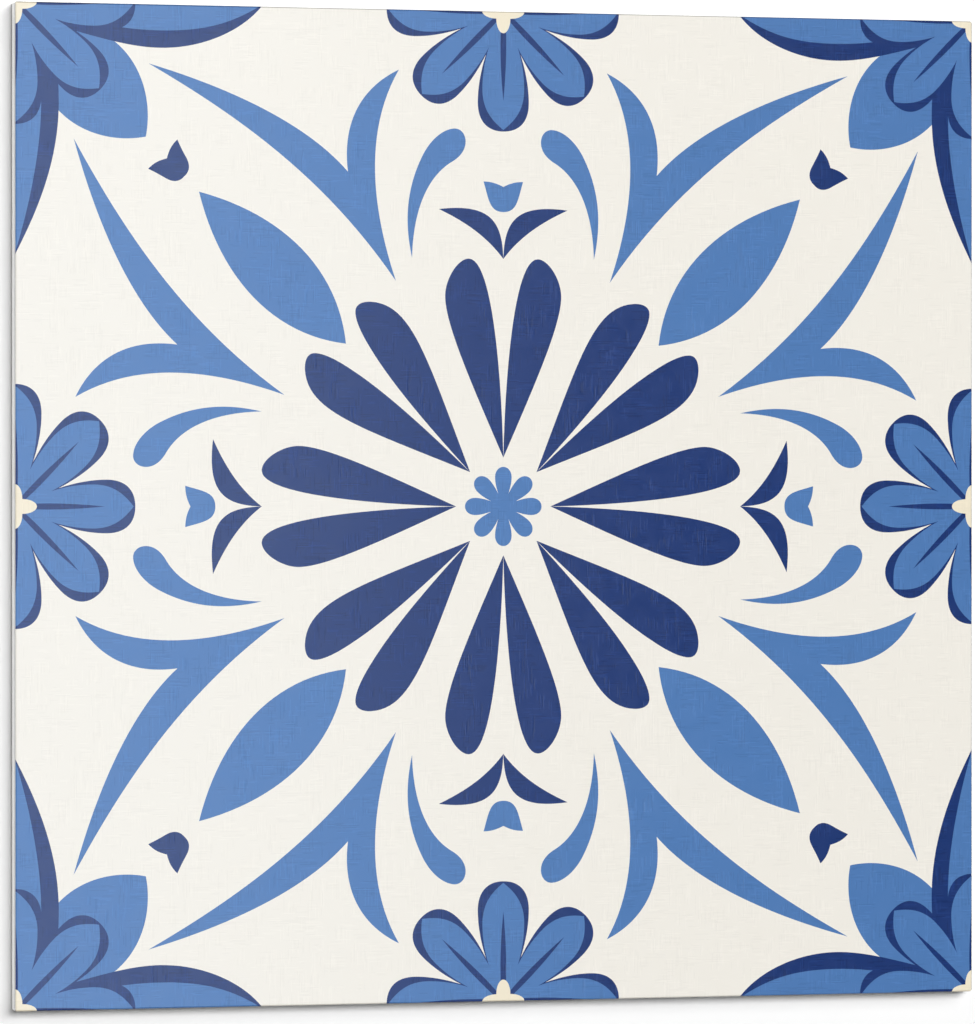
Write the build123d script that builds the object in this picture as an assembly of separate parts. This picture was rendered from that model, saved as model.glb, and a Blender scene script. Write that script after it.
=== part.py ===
from build123d import *

import os

# Self-adhesive vinyl tile: a square, stiff vinyl tile with a printed and embossed face,
# a coat of pressure-sensitive adhesive on its back, and the release liner that covers the
# adhesive until the tile is laid.
#
# The tile lies face up. The origin is the centre of the liner's underside, +Z points out of
# the printed face, and +Y points to the top of the print. All lengths are in millimetres.

# Outline, which one die cuts through every layer.
tile_side = 150.0
corner_radius = 0.4

# The layers, from the floor up.
liner_thickness = 0.15
adhesive_thickness = 0.15
vinyl_thickness = 2.5

# The die and the press ease the face's edges, and leave the back's edges sharp.
face_edge_radius = 0.25

# The glue line is held back from the cut edge, so that it can't ooze out of the stack.
adhesive_setback = 0.3

# Each layer seats on the one below it.
adhesive_base = liner_thickness
vinyl_base = adhesive_base + adhesive_thickness


def die_cut_sheet(base, thickness, setback=0.0):
    """One layer of the stack, standing on the height base, cut to the outline less a setback."""
    with BuildPart() as sheet:
        with BuildSketch(Plane.XY.offset(base)):
            RectangleRounded(tile_side, tile_side, corner_radius)
            if setback:
                offset(amount=-setback, mode=Mode.REPLACE)
        extrude(amount=thickness)
    return sheet.part


def release_liner():
    """The siliconised paper that is peeled off before the tile is laid."""
    return die_cut_sheet(0, liner_thickness)


def adhesive_coat():
    """The adhesive, which stops short of the cut edge on all four sides."""
    return die_cut_sheet(adhesive_base, adhesive_thickness, adhesive_setback)


def vinyl_tile():
    """The vinyl body, with its printed film and clear wear layer pressed into it as one piece."""
    body = die_cut_sheet(vinyl_base, vinyl_thickness)
    face_edges = body.faces().sort_by(Axis.Z)[-1].edges()
    return fillet(face_edges, face_edge_radius)


pieces = {
    "release_liner": release_liner(),
    "adhesive_coat": adhesive_coat(),
    "vinyl_tile": vinyl_tile(),
}

os.makedirs("parts", exist_ok=True)
for name, piece in pieces.items():
    export_step(piece, f"parts/{name}.step")
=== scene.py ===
from math import copysign, cos, hypot, pi, radians, sin, sqrt

import bpy
import numpy as np
from mathutils import Matrix, Vector
from mathutils.geometry import delaunay_2d_cdt


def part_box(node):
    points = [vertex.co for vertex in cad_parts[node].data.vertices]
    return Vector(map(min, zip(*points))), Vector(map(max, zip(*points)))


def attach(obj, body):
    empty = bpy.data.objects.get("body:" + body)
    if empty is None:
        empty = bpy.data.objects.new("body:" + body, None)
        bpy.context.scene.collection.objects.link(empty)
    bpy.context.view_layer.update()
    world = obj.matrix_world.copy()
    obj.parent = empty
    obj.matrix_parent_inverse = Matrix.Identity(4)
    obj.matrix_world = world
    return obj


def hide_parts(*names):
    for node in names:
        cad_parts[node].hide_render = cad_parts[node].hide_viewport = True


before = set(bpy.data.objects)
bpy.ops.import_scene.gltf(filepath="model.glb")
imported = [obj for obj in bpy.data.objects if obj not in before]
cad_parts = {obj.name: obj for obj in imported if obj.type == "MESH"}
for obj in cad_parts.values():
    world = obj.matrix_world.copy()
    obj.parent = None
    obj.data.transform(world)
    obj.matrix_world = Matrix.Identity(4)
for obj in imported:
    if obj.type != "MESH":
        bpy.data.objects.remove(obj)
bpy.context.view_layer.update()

# Dresses the self-adhesive vinyl tile. The vinyl body is replaced by a mesh of the same shape
# whose face is cut along the edges of the print, so that every ink is a region of its own.
# The adhesive and the release liner keep their CAD meshes and get materials.
# Everything is in metres, in the CAD model's frame, except the print, which is drawn in
# millimetres.

MM = 0.001

# The vinyl body, from the CAD model.
tile_low, tile_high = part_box("vinyl_tile")
tile_side = tile_high.x - tile_low.x
face_height = tile_high.z
corner_radius = 0.4 * MM
edge_radius = 0.25 * MM

# The layers that show on the cut edge, measured down from where the eased edge ends.
film_line = 0.55 * MM
core_top = face_height - edge_radius - film_line

# The print, in millimetres from the middle of the face, with +Y to its top.
print_side = 150.0
print_half = print_side / 2
span_steps = 24

# Points of the cut face that lie nearer than this become one.
weld = 0.002

# Half the width of a petal's face. The corner flowers' petals are a little wider.
corner_petal_half_width = 3.4
side_petal_half_width = 3.28


def curve(start, *spans):
    """Points along cubic spans, each given as (handle, handle, end), or (end,) for a straight run."""
    points = [start]
    for span in spans:
        if len(span) == 1:
            points.append(span[0])
            continue
        corners = (points[-1], *span)
        for step in range(1, span_steps + 1):
            t = step / span_steps
            weights = ((1 - t) ** 3, 3 * t * (1 - t) ** 2, 3 * t * t * (1 - t), t ** 3)
            across = sum(weight * x for weight, (x, _) in zip(weights, corners))
            up = sum(weight * y for weight, (_, y) in zip(weights, corners))
            points.append((across, up))
    return points


def with_mirror(half):
    """A closed outline that is symmetric about the Y axis, from its right half."""
    return half + [(-x, y) for x, y in reversed(half)]


def with_diagonal_mirror(half):
    """A closed outline that is symmetric about the diagonal, from its half above the diagonal."""
    return half + [(y, x) for x, y in reversed(half)]


def turned(outline, degrees):
    c, s = cos(radians(degrees)), sin(radians(degrees))
    return [(x * c - y * s, x * s + y * c) for x, y in outline]


def moved(outline, place):
    return [(x + place[0], y + place[1]) for x, y in outline]


def in_four_quarters(outline):
    """The outline mirrored into each quarter of the face."""
    return [[(x * across, y * up) for x, y in outline] for across in (1, -1) for up in (1, -1)]


def eightfold(outline):
    """The eight copies of an outline that the square's symmetry makes."""
    swapped = [(y, x) for x, y in outline]
    return in_four_quarters(outline) + in_four_quarters(swapped)


def rosette_petal():
    return with_mirror(curve(
        (0, 0),
        ((0.6, 1.2), (1.3, 3.1), (1.3, 4.4)),
        ((1.3, 5.4), (0.7, 6.0), (0, 6.0)),
    ))


def axis_drop():
    return curve(
        (0, 7.4),
        ((0.25, 18.5), (1.55, 37.5), (5.4, 37.5)),
        ((7.1, 37.5), (9.1, 34.4), (9.1, 31.8)),
        ((9.1, 27.5), (4.8, 18.2), (0, 7.4)),
    )


def diagonal_drop():
    return curve(
        (5.2, 5.2),
        ((10.3, 10.6), (16.9, 17.8), (20.5, 23.5)),
        ((22.4, 26.4), (23.1, 28.3), (23.05, 29.4)),
        ((23.0, 30.6), (21.7, 30.9), (20.6, 30.85)),
        ((14.2, 30.5), (11.95, 22.4), (5.2, 5.2)),
    )


def axis_leaf():
    return curve(
        (0, 37.5),
        ((0.15, 43.3), (2.1, 45.95), (10.1, 44.95)),
        ((6, 43.1), (2.6, 40.9), (0, 37.5)),
    )


def tulip():
    return with_mirror(curve(
        (0, 48.4),
        ((1.0, 48.95), (2.0, 49.2), (3.1, 49.2)),
        ((2.3, 46.6), (2.2, 44.6), (0, 44.6)),
    ))


def comma():
    return curve(
        (14.25, 37.5),
        ((15.3, 42.2), (15.5, 47.6), (12.4, 53.4)),
        ((11.1, 55.7), (9.2, 57.1), (7.6, 57.15)),
        ((6.6, 57.15), (5.9, 56.3), (5.9, 55.2)),
        ((5.9, 53.9), (6.8, 52.8), (8.15, 52.05)),
        ((12.1, 49.6), (14.1, 44.3), (14.25, 37.5)),
    )


def forked_leaf():
    return curve(
        (16.3, 65.9),
        ((21.7, 63.3), (25.2, 58.3), (24.2, 50.4)),
        ((29.8, 56.7), (40.3, 62.1), (54.8, 66.15)),
        ((41.6, 58.8), (27.85, 49.75), (16.75, 34.0)),
        ((20.4, 44.6), (21.9, 56.3), (16.3, 65.9)),
    )


def diagonal_leaf():
    return with_diagonal_mirror(curve(
        (24.5, 24.5),
        ((25.7, 35.6), (34.0, 43.8), (47.1, 47.1)),
    ))


def bud():
    return with_diagonal_mirror(curve(
        (52.0, 52.0),
        ((51.7, 53.2), (51.3, 54.0), (50.4, 54.85)),
        ((50.0, 53.9), (49.5, 53.0), (49.0, 52.1)),
        ((48.35, 50.9), (48.6, 50.0), (49.35, 49.35)),
    ))


def corner_leaf():
    return with_diagonal_mirror(curve(
        (55.2, 55.2),
        ((54.2, 60.2), (55.6, 66.2), (60.3, 69.6)),
        ((print_half, print_half),),
    ))


def wide_blade():
    return curve(
        (37.5, print_half),
        ((40.5, 71.3), (46.5, 68.5), (53.0, 68.5)),
        ((59.0, 68.5), (65.0, 70.8), (print_half, 73.0)),
        ((print_half, print_half),),
    )


def wide_blade_face():
    return curve(
        (37.8, print_half),
        ((42.5, 72.2), (46.5, 71.1), (53.0, 71.1)),
        ((60.0, 71.1), (66.0, 72.6), (print_half, print_half)),
    )


def tall_blade():
    return curve(
        (print_half, 37.4),
        ((72.0, 43.2), (68.4, 51.0), (68.4, 60.0)),
        ((68.4, 66.0), (69.0, 71.0), (print_half, print_half)),
    )


def tall_blade_face():
    return curve(
        (print_half, 37.6),
        ((72.4, 46.0), (71.05, 54.0), (71.05, 60.0)),
        ((71.05, 66.0), (73.0, 70.0), (print_half, print_half)),
    )


def petal_rim():
    return with_mirror(curve(
        (0, 0),
        ((2.27, 4.6), (4.0, 9.4), (4.0, 13.8)),
        ((4.0, 17.0), (2.2, 18.2), (0, 18.2)),
    ))


def petal_face(half_width):
    return with_mirror(curve(
        (0, 0),
        ((2.08, 4.2), (half_width, 7.8), (half_width, 11.8)),
        ((half_width, 14.8), (1.9, 16.5), (0, 17.95)),
    ))


def petal_midrib():
    return with_mirror(curve(
        (0.33, 1.2),
        ((0.55, 4.5), (0.5, 8.5), (0, 13.6)),
    ))


def heart_lobe():
    return with_mirror(curve(
        (0, 0),
        ((1.1, 1.1),),
        ((1.1, 2.3), (0.62, 3.3), (0, 3.3)),
    ))


def flower(place, petal_half_width):
    """An eight-petalled flower, as (ink, outline) from the first painted to the last."""
    eighths = range(0, 360, 45)
    quarters = range(0, 360, 90)
    painted = [("dark_blue", turned(petal_rim(), angle)) for angle in eighths]
    painted += [("mid_blue", turned(petal_face(petal_half_width), angle)) for angle in eighths]
    painted += [("dark_blue", turned(petal_midrib(), angle)) for angle in eighths]
    painted += [("ivory", turned(heart_lobe(), angle)) for angle in quarters]
    return [(ink, moved(outline, place)) for ink, outline in painted]


def painted_print():
    """The whole print as (ink, outline), each painted over the ones before it."""
    painted = [("mid_blue", turned(rosette_petal(), angle)) for angle in range(0, 360, 45)]
    for motif in (axis_drop, diagonal_drop, axis_leaf):
        painted += [("dark_blue", outline) for outline in eightfold(motif())]
    painted += [("mid_blue", turned(tulip(), angle)) for angle in range(0, 360, 90)]
    for motif in (comma, forked_leaf):
        painted += [("mid_blue", outline) for outline in eightfold(motif())]
    for ink, motif in (
        ("mid_blue", diagonal_leaf),
        ("dark_blue", bud),
        ("mid_blue", corner_leaf),
        ("dark_blue", wide_blade),
        ("dark_blue", tall_blade),
        ("mid_blue", wide_blade_face),
        ("mid_blue", tall_blade_face),
    ):
        painted += [(ink, outline) for outline in in_four_quarters(motif())]
    for x in (-print_half, 0, print_half):
        for y in (-print_half, 0, print_half):
            if x and y:
                painted += flower((x, y), corner_petal_half_width)
            elif x or y:
                painted += flower((x, y), side_petal_half_width)
    return painted


# Materials

def linear(red, green, blue):
    """A colour given as it shows on a screen, from 0 to 255, as Blender's sockets take it."""
    shares = [channel / 255 for channel in (red, green, blue)]
    return tuple(
        ((share + 0.055) / 1.055) ** 2.4 if share > 0.04045 else share / 12.92 for share in shares
    ) + (1.0,)


def shade_of(colour, factor):
    """The colour, darker or paler by a factor."""
    return tuple(channel * factor for channel in colour[:3]) + (1.0,)


pale_vinyl = linear(243, 243, 242)

# Half the tile's side in millimetres, which the materials measure in.
outermost = tile_side / 2 / MM


def new_material(name):
    """A node material, as (material, its node tree, its shader)."""
    material = bpy.data.materials.new(name)
    material.use_nodes = True
    tree = material.node_tree
    return material, tree, tree.nodes["Principled BSDF"]


def millimetres(tree, stretch=(1, 1, 1), offset=(0, 0, 0)):
    """The object's own coordinates in millimetres, stretched and moved."""
    place = tree.nodes.new("ShaderNodeTexCoord")
    mapping = tree.nodes.new("ShaderNodeMapping")
    mapping.inputs["Scale"].default_value = [factor / MM for factor in stretch]
    mapping.inputs["Location"].default_value = offset
    tree.links.new(place.outputs["Object"], mapping.inputs["Vector"])
    return mapping.outputs["Vector"]


def face_place(tree):
    """How far a point lies to the right of the face's middle and above it, in millimetres."""
    split = tree.nodes.new("ShaderNodeSeparateXYZ")
    tree.links.new(millimetres(tree), split.inputs["Vector"])
    return split.outputs["X"], split.outputs["Y"]


def noise(tree, vector, scale, detail):
    """Smooth noise round 0.5, finer as the scale rises, with smaller waves added by the detail."""
    node = tree.nodes.new("ShaderNodeTexNoise")
    node.inputs["Scale"].default_value = scale
    node.inputs["Detail"].default_value = detail
    tree.links.new(vector, node.inputs["Vector"])
    return node.outputs["Fac"]


def feed(tree, value, socket):
    """Gives a socket its value, which is another node's socket or a constant."""
    if isinstance(value, bpy.types.NodeSocket):
        tree.links.new(value, socket)
    else:
        socket.default_value = value


def white_noise(tree, first, second):
    """A random value from 0 to 1 and a random colour for each pair of whole numbers."""
    pair = tree.nodes.new("ShaderNodeCombineXYZ")
    feed(tree, first, pair.inputs["X"])
    feed(tree, second, pair.inputs["Y"])
    node = tree.nodes.new("ShaderNodeTexWhiteNoise")
    node.noise_dimensions = "2D"
    tree.links.new(pair.outputs["Vector"], node.inputs["Vector"])
    return node.outputs["Value"], node.outputs["Color"]


def ramp(tree, value, low, high, to_low=0.0, to_high=1.0):
    """Smoothly maps a value from the range low..high to the range to_low..to_high."""
    node = tree.nodes.new("ShaderNodeMapRange")
    node.interpolation_type = "SMOOTHSTEP"
    node.inputs["From Min"].default_value = low
    node.inputs["From Max"].default_value = high
    node.inputs["To Min"].default_value = to_low
    node.inputs["To Max"].default_value = to_high
    tree.links.new(value, node.inputs["Value"])
    return node.outputs["Result"]


def combine(tree, operation, *values):
    """A math node on sockets or numbers."""
    node = tree.nodes.new("ShaderNodeMath")
    node.operation = operation
    for value, socket in zip(values, node.inputs):
        feed(tree, value, socket)
    return node.outputs[0]


def blended(tree, share, first, second):
    """The first value where the share is 0, and the second where it is 1."""
    return combine(tree, "MULTIPLY_ADD", share, combine(tree, "SUBTRACT", second, first), first)


def mixed_colour(tree, share, first, second):
    """A mix of two colours, each of them a socket or a constant."""
    node = tree.nodes.new("ShaderNodeMix")
    node.data_type = "RGBA"
    tree.links.new(share, node.inputs["Factor"])
    feed(tree, first, node.inputs["A"])
    feed(tree, second, node.inputs["B"])
    return node.outputs["Result"]


def add_relief(tree, shader, height, depth):
    """Makes a shader's surface rise by a height, given as a share of the depth."""
    bump = tree.nodes.new("ShaderNodeBump")
    bump.inputs["Distance"].default_value = depth
    tree.links.new(height, bump.inputs["Height"])
    tree.links.new(bump.outputs["Normal"], shader.inputs["Normal"])


# The linen grain, in millimetres. Each thread is split into runs, at its own pace in runs per
# millimetre and from its own start. Few of the runs stand out: those whose draw from 0 to 1 is
# low are pressed in, and those whose draw is high are raised.
thread_width = 0.17
slowest_pace = 0.22
pace_spread = 0.45
run_shift = 9.0
pressed_below = 0.16
raised_above = 0.84
end_taper = 0.4
emboss_depth = 0.003 * MM

# The scattered patches in which the grain shows.
patch_scale = 0.3
patch_start = 0.44
patch_full = 0.56


def half_wave(tree, value):
    """Rises from 0 to 1 and falls back to 0 between each whole number and the next."""
    return combine(tree, "SINE", combine(tree, "MULTIPLY", combine(tree, "FRACT", value), pi))


def threads(tree, across, along, seed):
    """The relief of straight, parallel threads: 1 along a raised run, and -1 along a pressed one."""
    column_place = combine(tree, "DIVIDE", across, thread_width)
    column = combine(tree, "FLOOR", column_place)
    pace_share, shift = white_noise(tree, column, seed)
    pace = combine(tree, "MULTIPLY_ADD", pace_share, pace_spread, slowest_pace)
    run_place = combine(tree, "MULTIPLY", along, pace)
    run_place = combine(tree, "ADD", run_place, combine(tree, "MULTIPLY", shift, run_shift))
    draw, _ = white_noise(tree, column, combine(tree, "FLOOR", run_place))
    raised = combine(tree, "GREATER_THAN", draw, raised_above)
    pressed = combine(tree, "LESS_THAN", draw, pressed_below)
    sign = combine(tree, "SUBTRACT", raised, pressed)
    taper = ramp(tree, half_wave(tree, run_place), 0.0, end_taper)
    height = combine(tree, "MULTIPLY", half_wave(tree, column_place), taper)
    return combine(tree, "MULTIPLY", sign, height)


def linen_emboss():
    """The pressed linen grain of the wear layer, as a group that gives its relief.

    The relief is 0 where the face is even, 1 on a raised thread and -1 on a pressed one.
    """
    group = bpy.data.node_groups.new("linen_emboss", "ShaderNodeTree")
    group.interface.new_socket("Relief", in_out="OUTPUT", socket_type="NodeSocketFloat")
    across, up = face_place(group)
    directions = []
    for width_axis, length_axis, seed, patch_offset in (
        (across, up, 3, (31, 7, 0)),
        (up, across, 8, (5, 63, 0)),
    ):
        spread = noise(group, millimetres(group, offset=patch_offset), patch_scale, detail=1.0)
        patches = ramp(group, spread, patch_start, patch_full)
        relief = threads(group, width_axis, length_axis, seed)
        directions.append(combine(group, "MULTIPLY", relief, patches))
    output = group.nodes.new("NodeGroupOutput")
    group.links.new(combine(group, "ADD", *directions), output.inputs["Relief"])
    return group


emboss_group = linen_emboss()

# Where an ink's tone lies between its darkest and its palest: this far up, and moved from there
# by the mottle and by the grain's relief, which paints light on raised threads and shade in
# pressed ones.
even_level = 0.45
relief_light_and_shade_share = 0.45
mottle_share = 0.1


def with_painted_rim_shading(tree, ink, colour):
    """The ink with lines painted round the face as light and shade on its eased edge.

    They are painted shade, dark at the right and the top. At the left a pale line is painted at the
    very edge, with a painted shaded line inside it, and at the bottom the ink runs out to the edge.
    A line starts at one distance from the tile's side, and is full at the next.
    """
    across, up = face_place(tree)
    # The lines are painted: dark shade at the right and top, a shaded line at the left, and a pale line at
    # the left's very edge.
    dark = shade_of(colour, 0.45)
    shaded = shade_of(colour, 0.68)
    for along, sign, start, full, seen in (
        (across, 1, 0.24, 0.10, dark),
        (up, 1, 0.24, 0.10, dark),
        (across, -1, 0.22, 0.10, shaded),
        (across, -1, 0.10, 0.02, pale_vinyl),
    ):
        reach = combine(tree, "MULTIPLY", along, sign)
        share = ramp(tree, reach, outermost - start, outermost - full)
        ink = mixed_colour(tree, share, ink, seen)
    return ink


def ink_material(name, colour, contrast):
    """Ink under the clear wear layer, which is satin and pressed with a fine linen grain.

    The contrast is how much paler the ink would be at the top of its range, and how much darker
    at the foot of it. The grain's relief moves the ink within this range, as light painted on raised
    threads and shade painted in pressed ones.
    """
    material, tree, shader = new_material(name)
    emboss = tree.nodes.new("ShaderNodeGroup")
    emboss.node_tree = emboss_group
    relief = emboss.outputs["Relief"]
    mottle = noise(tree, millimetres(tree), scale=0.5, detail=3.0)
    level = combine(tree, "MULTIPLY_ADD", mottle, mottle_share, even_level)
    # Painted light and shade: the ink paler on raised threads and darker in pressed ones.
    level = combine(tree, "MULTIPLY_ADD", relief, relief_light_and_shade_share, level)
    ink = mixed_colour(tree, level, shade_of(colour, 1 - contrast), shade_of(colour, 1 + contrast))
    tree.links.new(with_painted_rim_shading(tree, ink, colour), shader.inputs["Base Color"])
    satin = ramp(tree, mottle, 0.35, 0.65, to_low=0.19, to_high=0.23)
    tree.links.new(satin, shader.inputs["Roughness"])
    add_relief(tree, shader, relief, emboss_depth)
    return material


def cut_edge_material(name, colour, roughness):
    """A die-cut edge of vinyl, with the fine upright scratches of the cutting rule."""
    scratch_depth = 0.02 * MM
    roughness_spread = 0.1
    speck_contrast = 0.07
    material, tree, shader = new_material(name)
    scratches = noise(tree, millimetres(tree, stretch=(6, 6, 0.4)), scale=1.0, detail=2.0)
    specks = noise(tree, millimetres(tree), scale=3.0, detail=2.0)
    speckled = mixed_colour(
        tree, specks, shade_of(colour, 1 - speck_contrast), shade_of(colour, 1 + speck_contrast)
    )
    tree.links.new(speckled, shader.inputs["Base Color"])
    smooth = roughness - roughness_spread
    rough = roughness + roughness_spread
    scratched = ramp(tree, scratches, 0.3, 0.7, to_low=smooth, to_high=rough)
    tree.links.new(scratched, shader.inputs["Roughness"])
    add_relief(tree, shader, scratches, scratch_depth)
    return material


def adhesive_material():
    """Milky, tacky acrylic adhesive."""
    material, tree, shader = new_material("adhesive")
    cloud = noise(tree, millimetres(tree), scale=0.8, detail=3.0)
    milky = mixed_colour(tree, cloud, linear(206, 203, 190), linear(222, 219, 207))
    tree.links.new(milky, shader.inputs["Base Color"])
    tacky = ramp(tree, cloud, 0.3, 0.7, to_low=0.22, to_high=0.34)
    tree.links.new(tacky, shader.inputs["Roughness"])
    shader.inputs["Subsurface Weight"].default_value = 0.3
    shader.inputs["Subsurface Scale"].default_value = 0.3 * MM
    return material


def liner_material():
    """Siliconised release paper: white faces with fine fibres, and a grey band of painted shade at its cut
    edge.
    """
    fibre_depth = 0.006 * MM
    fibre_share = 0.6
    # A grey band painted round the cut edge, as shade at the tile's foot.
    foot_shade_start, foot_shade_full = 0.06, 0.03
    foot_shade_colour = linear(112, 107, 101)
    material, tree, shader = new_material("release_paper")
    fibres = noise(tree, millimetres(tree, stretch=(1, 2.5, 1)), scale=2.2, detail=4.0)
    cloud = noise(tree, millimetres(tree), scale=0.25, detail=2.0)
    shade = blended(tree, fibre_share, cloud, fibres)
    paper = mixed_colour(tree, shade, linear(226, 224, 217), linear(240, 239, 234))
    across, up = face_place(tree)
    sideways = combine(tree, "ABSOLUTE", across)
    upwards = combine(tree, "ABSOLUTE", up)
    reach = combine(tree, "MAXIMUM", sideways, upwards)
    in_foot_shade = ramp(tree, reach, outermost - foot_shade_start, outermost - foot_shade_full)
    tree.links.new(mixed_colour(tree, in_foot_shade, paper, foot_shade_colour), shader.inputs["Base Color"])
    faint_gloss = ramp(tree, fibres, 0.3, 0.7, to_low=0.38, to_high=0.52)
    tree.links.new(faint_gloss, shader.inputs["Roughness"])
    add_relief(tree, shader, fibres, fibre_depth)
    return material


# The vinyl body

# How many straight runs a rounded corner and the eased edge have, and how flat a crease stays
# smooth.
corner_steps = 8
ease_steps = 5
crease_angle = radians(40)


def rounded_square(inset):
    """Points round the tile's outline, pulled in by the inset, in metres from its middle."""
    radius = corner_radius - inset
    reach = tile_side / 2 - corner_radius
    points = []
    for corner in range(4):
        centre = Vector((reach, reach, 0))
        centre.rotate(Matrix.Rotation(corner * pi / 2, 3, "Z"))
        for step in range(corner_steps + 1):
            angle = corner * pi / 2 + step / corner_steps * pi / 2
            points.append((centre.x + radius * cos(angle), centre.y + radius * sin(angle)))
    return points


def depth_inside(x, y):
    """How far a point of the face lies inside the tile's outline."""
    reach = tile_side / 2 - corner_radius
    beyond_x, beyond_y = abs(x) - reach, abs(y) - reach
    if beyond_x > 0 and beyond_y > 0:
        return corner_radius - hypot(beyond_x, beyond_y)
    return corner_radius - max(beyond_x, beyond_y)


def face_drop(x, y):
    """How far the eased edge has dropped below the face at a point."""
    short = edge_radius - max(0.0, depth_inside(x, y))
    return edge_radius - sqrt(edge_radius ** 2 - short ** 2) if short > 0 else 0.0


def inside(outline, places):
    """Which of the places lie inside a closed outline."""
    outline = np.array(outline)
    near = np.all((places > outline.min(axis=0)) & (places < outline.max(axis=0)), axis=1)
    x, y = places[near].T
    odd = np.zeros(len(x), bool)
    for (x0, y0), (x1, y1) in zip(outline, np.roll(outline, -1, axis=0)):
        if y0 != y1:
            spans = (y0 > y) != (y1 > y)
            odd ^= spans & (x < x0 + (y - y0) * (x1 - x0) / (y1 - y0))
    near[near] = odd
    return near


def cut_face():
    """Cuts the face along the print's edges. Returns its points, and its triangles with their inks.

    The first outlines are the rings of the eased edge and a ring just inside it, which keeps its
    shading off the flat of the face.
    """
    to_mm = print_side / tile_side
    insets = [edge_radius * (1 - cos(step / ease_steps * pi / 2)) for step in range(ease_steps + 1)]
    flat_ring = 1.4 * edge_radius
    insets.append(flat_ring)
    painted = painted_print()
    outlines = [[(x * to_mm, y * to_mm) for x, y in rounded_square(inset)] for inset in insets]
    outlines += [outline for _, outline in painted]
    points, edges = [], []
    for outline in outlines:
        ring = list(range(len(points), len(points) + len(outline)))
        points += [Vector(point) for point in outline]
        edges += zip(ring, ring[1:] + ring[:1])
    places, _, triangles, *_ = delaunay_2d_cdt(points, edges, [], 0, weld, False)

    middles = np.array(places)[np.array(triangles)].mean(axis=1)
    inks = np.full(len(triangles), "cream", dtype=object)
    for ink, outline in painted:
        inks[inside(outline, middles)] = ink
    on_tile = inside(outlines[0], middles)
    kept = [(triangle, ink) for triangle, ink, on in zip(triangles, inks, on_tile) if on]
    return [Vector(place) / to_mm for place in places], kept


def border_of(triangles):
    """The ring of points round the face, in order, from the edges that only one triangle has."""
    follows = {}
    for triangle, _ in triangles:
        for a, b in zip(triangle, triangle[1:] + triangle[:1]):
            follows[a, b] = True
    after = {a: b for a, b in follows if (b, a) not in follows}
    ring = [next(iter(after))]
    while after[ring[-1]] != ring[0]:
        ring.append(after[ring[-1]])
    return ring


def unfolded(x, y, z):
    """Where a point goes on the bake map: the face lies flat, and the sides fold out round it."""
    margin = 0.025
    scale = (1 - 2 * margin) / tile_side
    on_side = max(abs(x), abs(y)) > tile_side / 2 - corner_radius
    out = face_height - z if on_side else 0.0
    if abs(x) >= abs(y):
        x += copysign(out, x)
    else:
        y += copysign(out, y)
    return 0.5 + x * scale, 0.5 + y * scale


def vinyl_mesh():
    """The closed mesh of the vinyl body: the printed face, the eased edge, the cut edge and the back."""
    places, triangles = cut_face()
    used = sorted({i for triangle, _ in triangles for i in triangle})
    number = {old: new for new, old in enumerate(used)}
    vertices = [(places[i].x, places[i].y, face_height - face_drop(*places[i])) for i in used]
    faces = [[number[i] for i in triangle] for triangle, _ in triangles]
    slots = [ink_names.index(ink) for _, ink in triangles]
    ring = [number[i] for i in border_of(triangles)]
    upper = ring
    for level, slot in ((core_top, ink_names.index("film")), (tile_low.z, ink_names.index("core"))):
        lower = list(range(len(vertices), len(vertices) + len(ring)))
        vertices += [(vertices[i][0], vertices[i][1], level) for i in ring]
        for k in range(len(ring)):
            after = (k + 1) % len(ring)
            faces.append([upper[after], upper[k], lower[k], lower[after]])
            slots.append(slot)
        upper = lower
    middle = len(vertices)
    vertices.append((0, 0, tile_low.z))
    back_faces = range(len(faces), len(faces) + len(ring))
    for k in range(len(ring)):
        faces.append([upper[(k + 1) % len(ring)], upper[k], middle])
        slots.append(ink_names.index("core"))

    mesh = bpy.data.meshes.new("vinyl_tile_dressed")
    mesh.from_pydata(vertices, [], faces)
    mesh.polygons.foreach_set("material_index", slots)
    mesh.polygons.foreach_set("use_smooth", [True] * len(faces))
    mesh.update()
    return mesh, back_faces


def add_bake_map(mesh, back_faces):
    """A map of the whole body, with the back, which is all one material, small in a corner."""
    layer = mesh.uv_layers.new(name="OFBake")
    back_faces = set(back_faces)
    back_share = 0.02
    for polygon in mesh.polygons:
        for loop in polygon.loop_indices:
            x, y, z = mesh.vertices[mesh.loops[loop].vertex_index].co
            if polygon.index in back_faces:
                layer.data[loop].uv = [back_share * (0.5 + along / tile_side) for along in (x, y)]
            else:
                layer.data[loop].uv = unfolded(x, y, z)


ink_materials = {
    "cream": ink_material("ink_cream", linear(240, 236, 227), contrast=0.04),
    "mid_blue": ink_material("ink_mid_blue", linear(78, 121, 178), contrast=0.13),
    "dark_blue": ink_material("ink_dark_blue", linear(26, 52, 110), contrast=0.30),
    "ivory": ink_material("ink_ivory", linear(240, 230, 206), contrast=0.04),
    "film": cut_edge_material("film_edge", linear(188, 188, 189), roughness=0.45),
    "core": cut_edge_material("vinyl_core", pale_vinyl, roughness=0.5),
}
ink_names = list(ink_materials)

body_mesh, back = vinyl_mesh()
add_bake_map(body_mesh, back)
body_mesh.set_sharp_from_angle(angle=crease_angle)
for material in ink_materials.values():
    body_mesh.materials.append(material)
body = bpy.data.objects.new("vinyl_tile_dressed", body_mesh)
bpy.context.scene.collection.objects.link(body)
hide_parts("vinyl_tile")
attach(body, "root")


def finish_node(node, material):
    """Gives a CAD node's object the material as its only one."""
    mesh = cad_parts[node].data
    mesh.materials.clear()
    mesh.materials.append(material)


finish_node("adhesive_coat", adhesive_material())
finish_node("release_liner", liner_material())


# The floor

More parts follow.
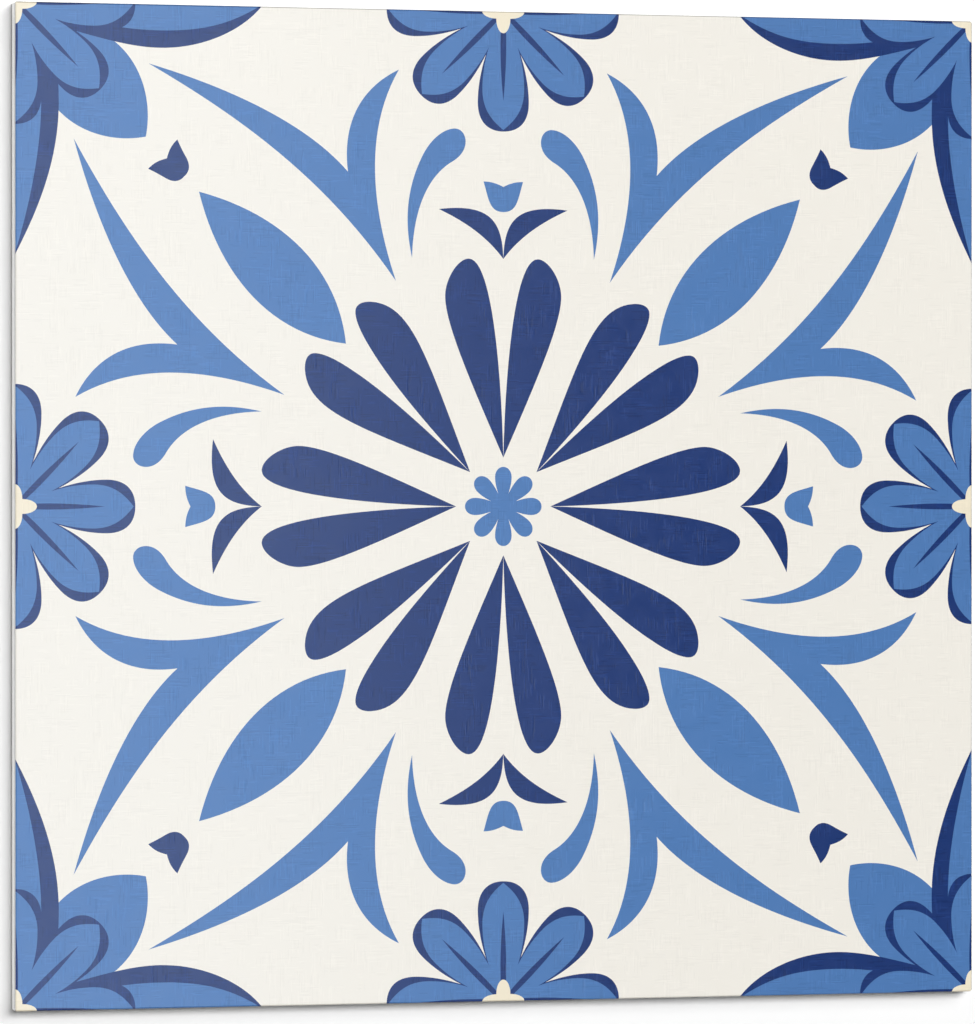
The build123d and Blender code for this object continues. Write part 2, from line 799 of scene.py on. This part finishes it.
def floor_material():
    """White studio floor, lifted to the picture's white where it is seen, and clear from below."""
    lift = 0.03
    material, tree, shader = new_material("studio_floor")
    shader.inputs["Roughness"].default_value = 0.9
    shader.inputs["Specular IOR Level"].default_value = 0.0
    grain = noise(tree, millimetres(tree), scale=0.05, detail=2.0)
    white = mixed_colour(tree, grain, linear(249, 249, 249), linear(251, 251, 251))
    tree.links.new(white, shader.inputs["Base Color"])
    path = tree.nodes.new("ShaderNodeLightPath")
    seen = combine(tree, "MAXIMUM", path.outputs["Is Camera Ray"], path.outputs["Is Glossy Ray"])
    seen = combine(tree, "MAXIMUM", seen, path.outputs["Is Transmission Ray"])
    tree.links.new(combine(tree, "MULTIPLY", seen, lift), shader.inputs["Emission Strength"])
    shader.inputs["Emission Color"].default_value = (1, 1, 1, 1)
    one_sided = tree.nodes.new("ShaderNodeMixShader")
    geometry = tree.nodes.new("ShaderNodeNewGeometry")
    clear = tree.nodes.new("ShaderNodeBsdfTransparent")
    tree.links.new(geometry.outputs["Backfacing"], one_sided.inputs["Fac"])
    tree.links.new(shader.outputs["BSDF"], one_sided.inputs[1])
    tree.links.new(clear.outputs["BSDF"], one_sided.inputs[2])
    surface = tree.nodes["Material Output"].inputs["Surface"]
    tree.links.new(one_sided.outputs["Shader"], surface)
    return material


def add_floor():
    """The floor, a hair above the liner's underside, so that the two don't flicker from below."""
    reach = 3.0
    hair = 0.01 * MM
    mesh = bpy.data.meshes.new("studio_floor")
    signs = ((-1, -1), (1, -1), (1, 1), (-1, 1))
    corners = [(across * reach, up * reach, hair) for across, up in signs]
    mesh.from_pydata(corners, [], [[0, 1, 2, 3]])
    mesh.materials.append(floor_material())
    floor = bpy.data.objects.new("studio_floor", mesh)
    bpy.context.scene.collection.objects.link(floor)


add_floor()


# Light

def add_softbox(name, place, aim, size, radiance, colour=(1, 1, 1), in_reflections=False, in_diffuse=True):
    """A rectangular softbox of even brightness, turned to its aim."""
    width, height = size
    light = bpy.data.lights.new(name, "AREA")
    light.shape = "RECTANGLE"
    light.size = width
    light.size_y = height
    light.energy = radiance * pi * width * height
    light.color = colour
    lamp = bpy.data.objects.new(name, light)
    lamp.location = place
    direction = Vector(aim) - Vector(place)
    lamp.rotation_euler = direction.to_track_quat("-Z", "Y").to_euler()
    lamp.visible_camera = False
    lamp.visible_glossy = in_reflections
    lamp.visible_diffuse = in_diffuse
    bpy.context.scene.collection.objects.link(lamp)


def add_world():
    """A plain white backdrop for the camera, and white walls under a dark ceiling in reflections.

    The light that falls on things is dim and even above the floor, and bright below it, which
    only views from below see.
    """
    world = bpy.data.worlds.new("studio")
    bpy.context.scene.world = world
    world.use_nodes = True
    tree = world.node_tree
    background = tree.nodes["Background"]
    background.inputs["Color"].default_value = (1, 1, 1, 1)
    direction = tree.nodes.new("ShaderNodeTexCoord")
    split = tree.nodes.new("ShaderNodeSeparateXYZ")
    tree.links.new(direction.outputs["Generated"], split.inputs["Vector"])
    upward = split.outputs["Z"]
    ambience = ramp(tree, upward, -0.1, 0.0, to_low=0.8, to_high=0.05)
    walls = ramp(tree, upward, 0.05, 0.45, to_low=1.0, to_high=0.05)
    path = tree.nodes.new("ShaderNodeLightPath")
    glossy, transmitted = path.outputs["Is Glossy Ray"], path.outputs["Is Transmission Ray"]
    mirrored = combine(tree, "MAXIMUM", glossy, transmitted)
    strength = blended(tree, mirrored, ambience, walls)
    strength = blended(tree, path.outputs["Is Camera Ray"], strength, 1.0)
    tree.links.new(strength, background.inputs["Strength"])


add_world()
add_softbox("key_high", place=(2.50, 3.75, 12.0), aim=(2.50, 3.75, 0), size=(7.0, 5.4), radiance=10.0)
add_softbox("key_low", place=(2.9, 2.1, 3.0), aim=(2.9, 2.1, 0), size=(3.0, 2.7), radiance=5.6)
add_softbox("left_fill", place=(-2.5, 0.8, 0.42), aim=(0, 0, 0), size=(2.4, 0.6), radiance=6.5)
add_softbox(
    "overhead",
    place=(0.08, 0, 1.2),
    aim=(0.08, 0, 0),
    size=(0.4, 0.8),
    radiance=2.9,
    colour=(0.75, 0.88, 1.05),
    in_reflections=True,
    in_diffuse=False,
)


# Camera: the photograph's view, from a little to the left of straight above.

camera_tilt_left = radians(14.711)
camera_tilt_up = radians(0.067)
camera_distance = 0.9339
camera_aim = Vector((-0.00248, -0.00084, face_height))
photo_height = 1024
focal_pixels = 6167.3
sensor_height = 36.0


def add_camera():
    towards = Vector((-sin(camera_tilt_left), sin(camera_tilt_up), cos(camera_tilt_left))).normalized()
    across = Vector((0, 1, 0)).cross(towards).normalized()
    up = towards.cross(across)
    camera = bpy.data.cameras.new("camera")
    camera.sensor_fit = "VERTICAL"
    camera.sensor_height = sensor_height
    camera.lens = focal_pixels / photo_height * sensor_height
    camera.clip_start = 0.01
    holder = bpy.data.objects.new("camera", camera)
    place = camera_aim + towards * camera_distance
    turn = Matrix((across, up, towards)).transposed()
    holder.matrix_world = Matrix.Translation(place) @ turn.to_4x4()
    bpy.context.scene.collection.objects.link(holder)
    bpy.context.scene.camera = holder


add_camera()

bpy.context.scene.view_settings.view_transform = "Standard"
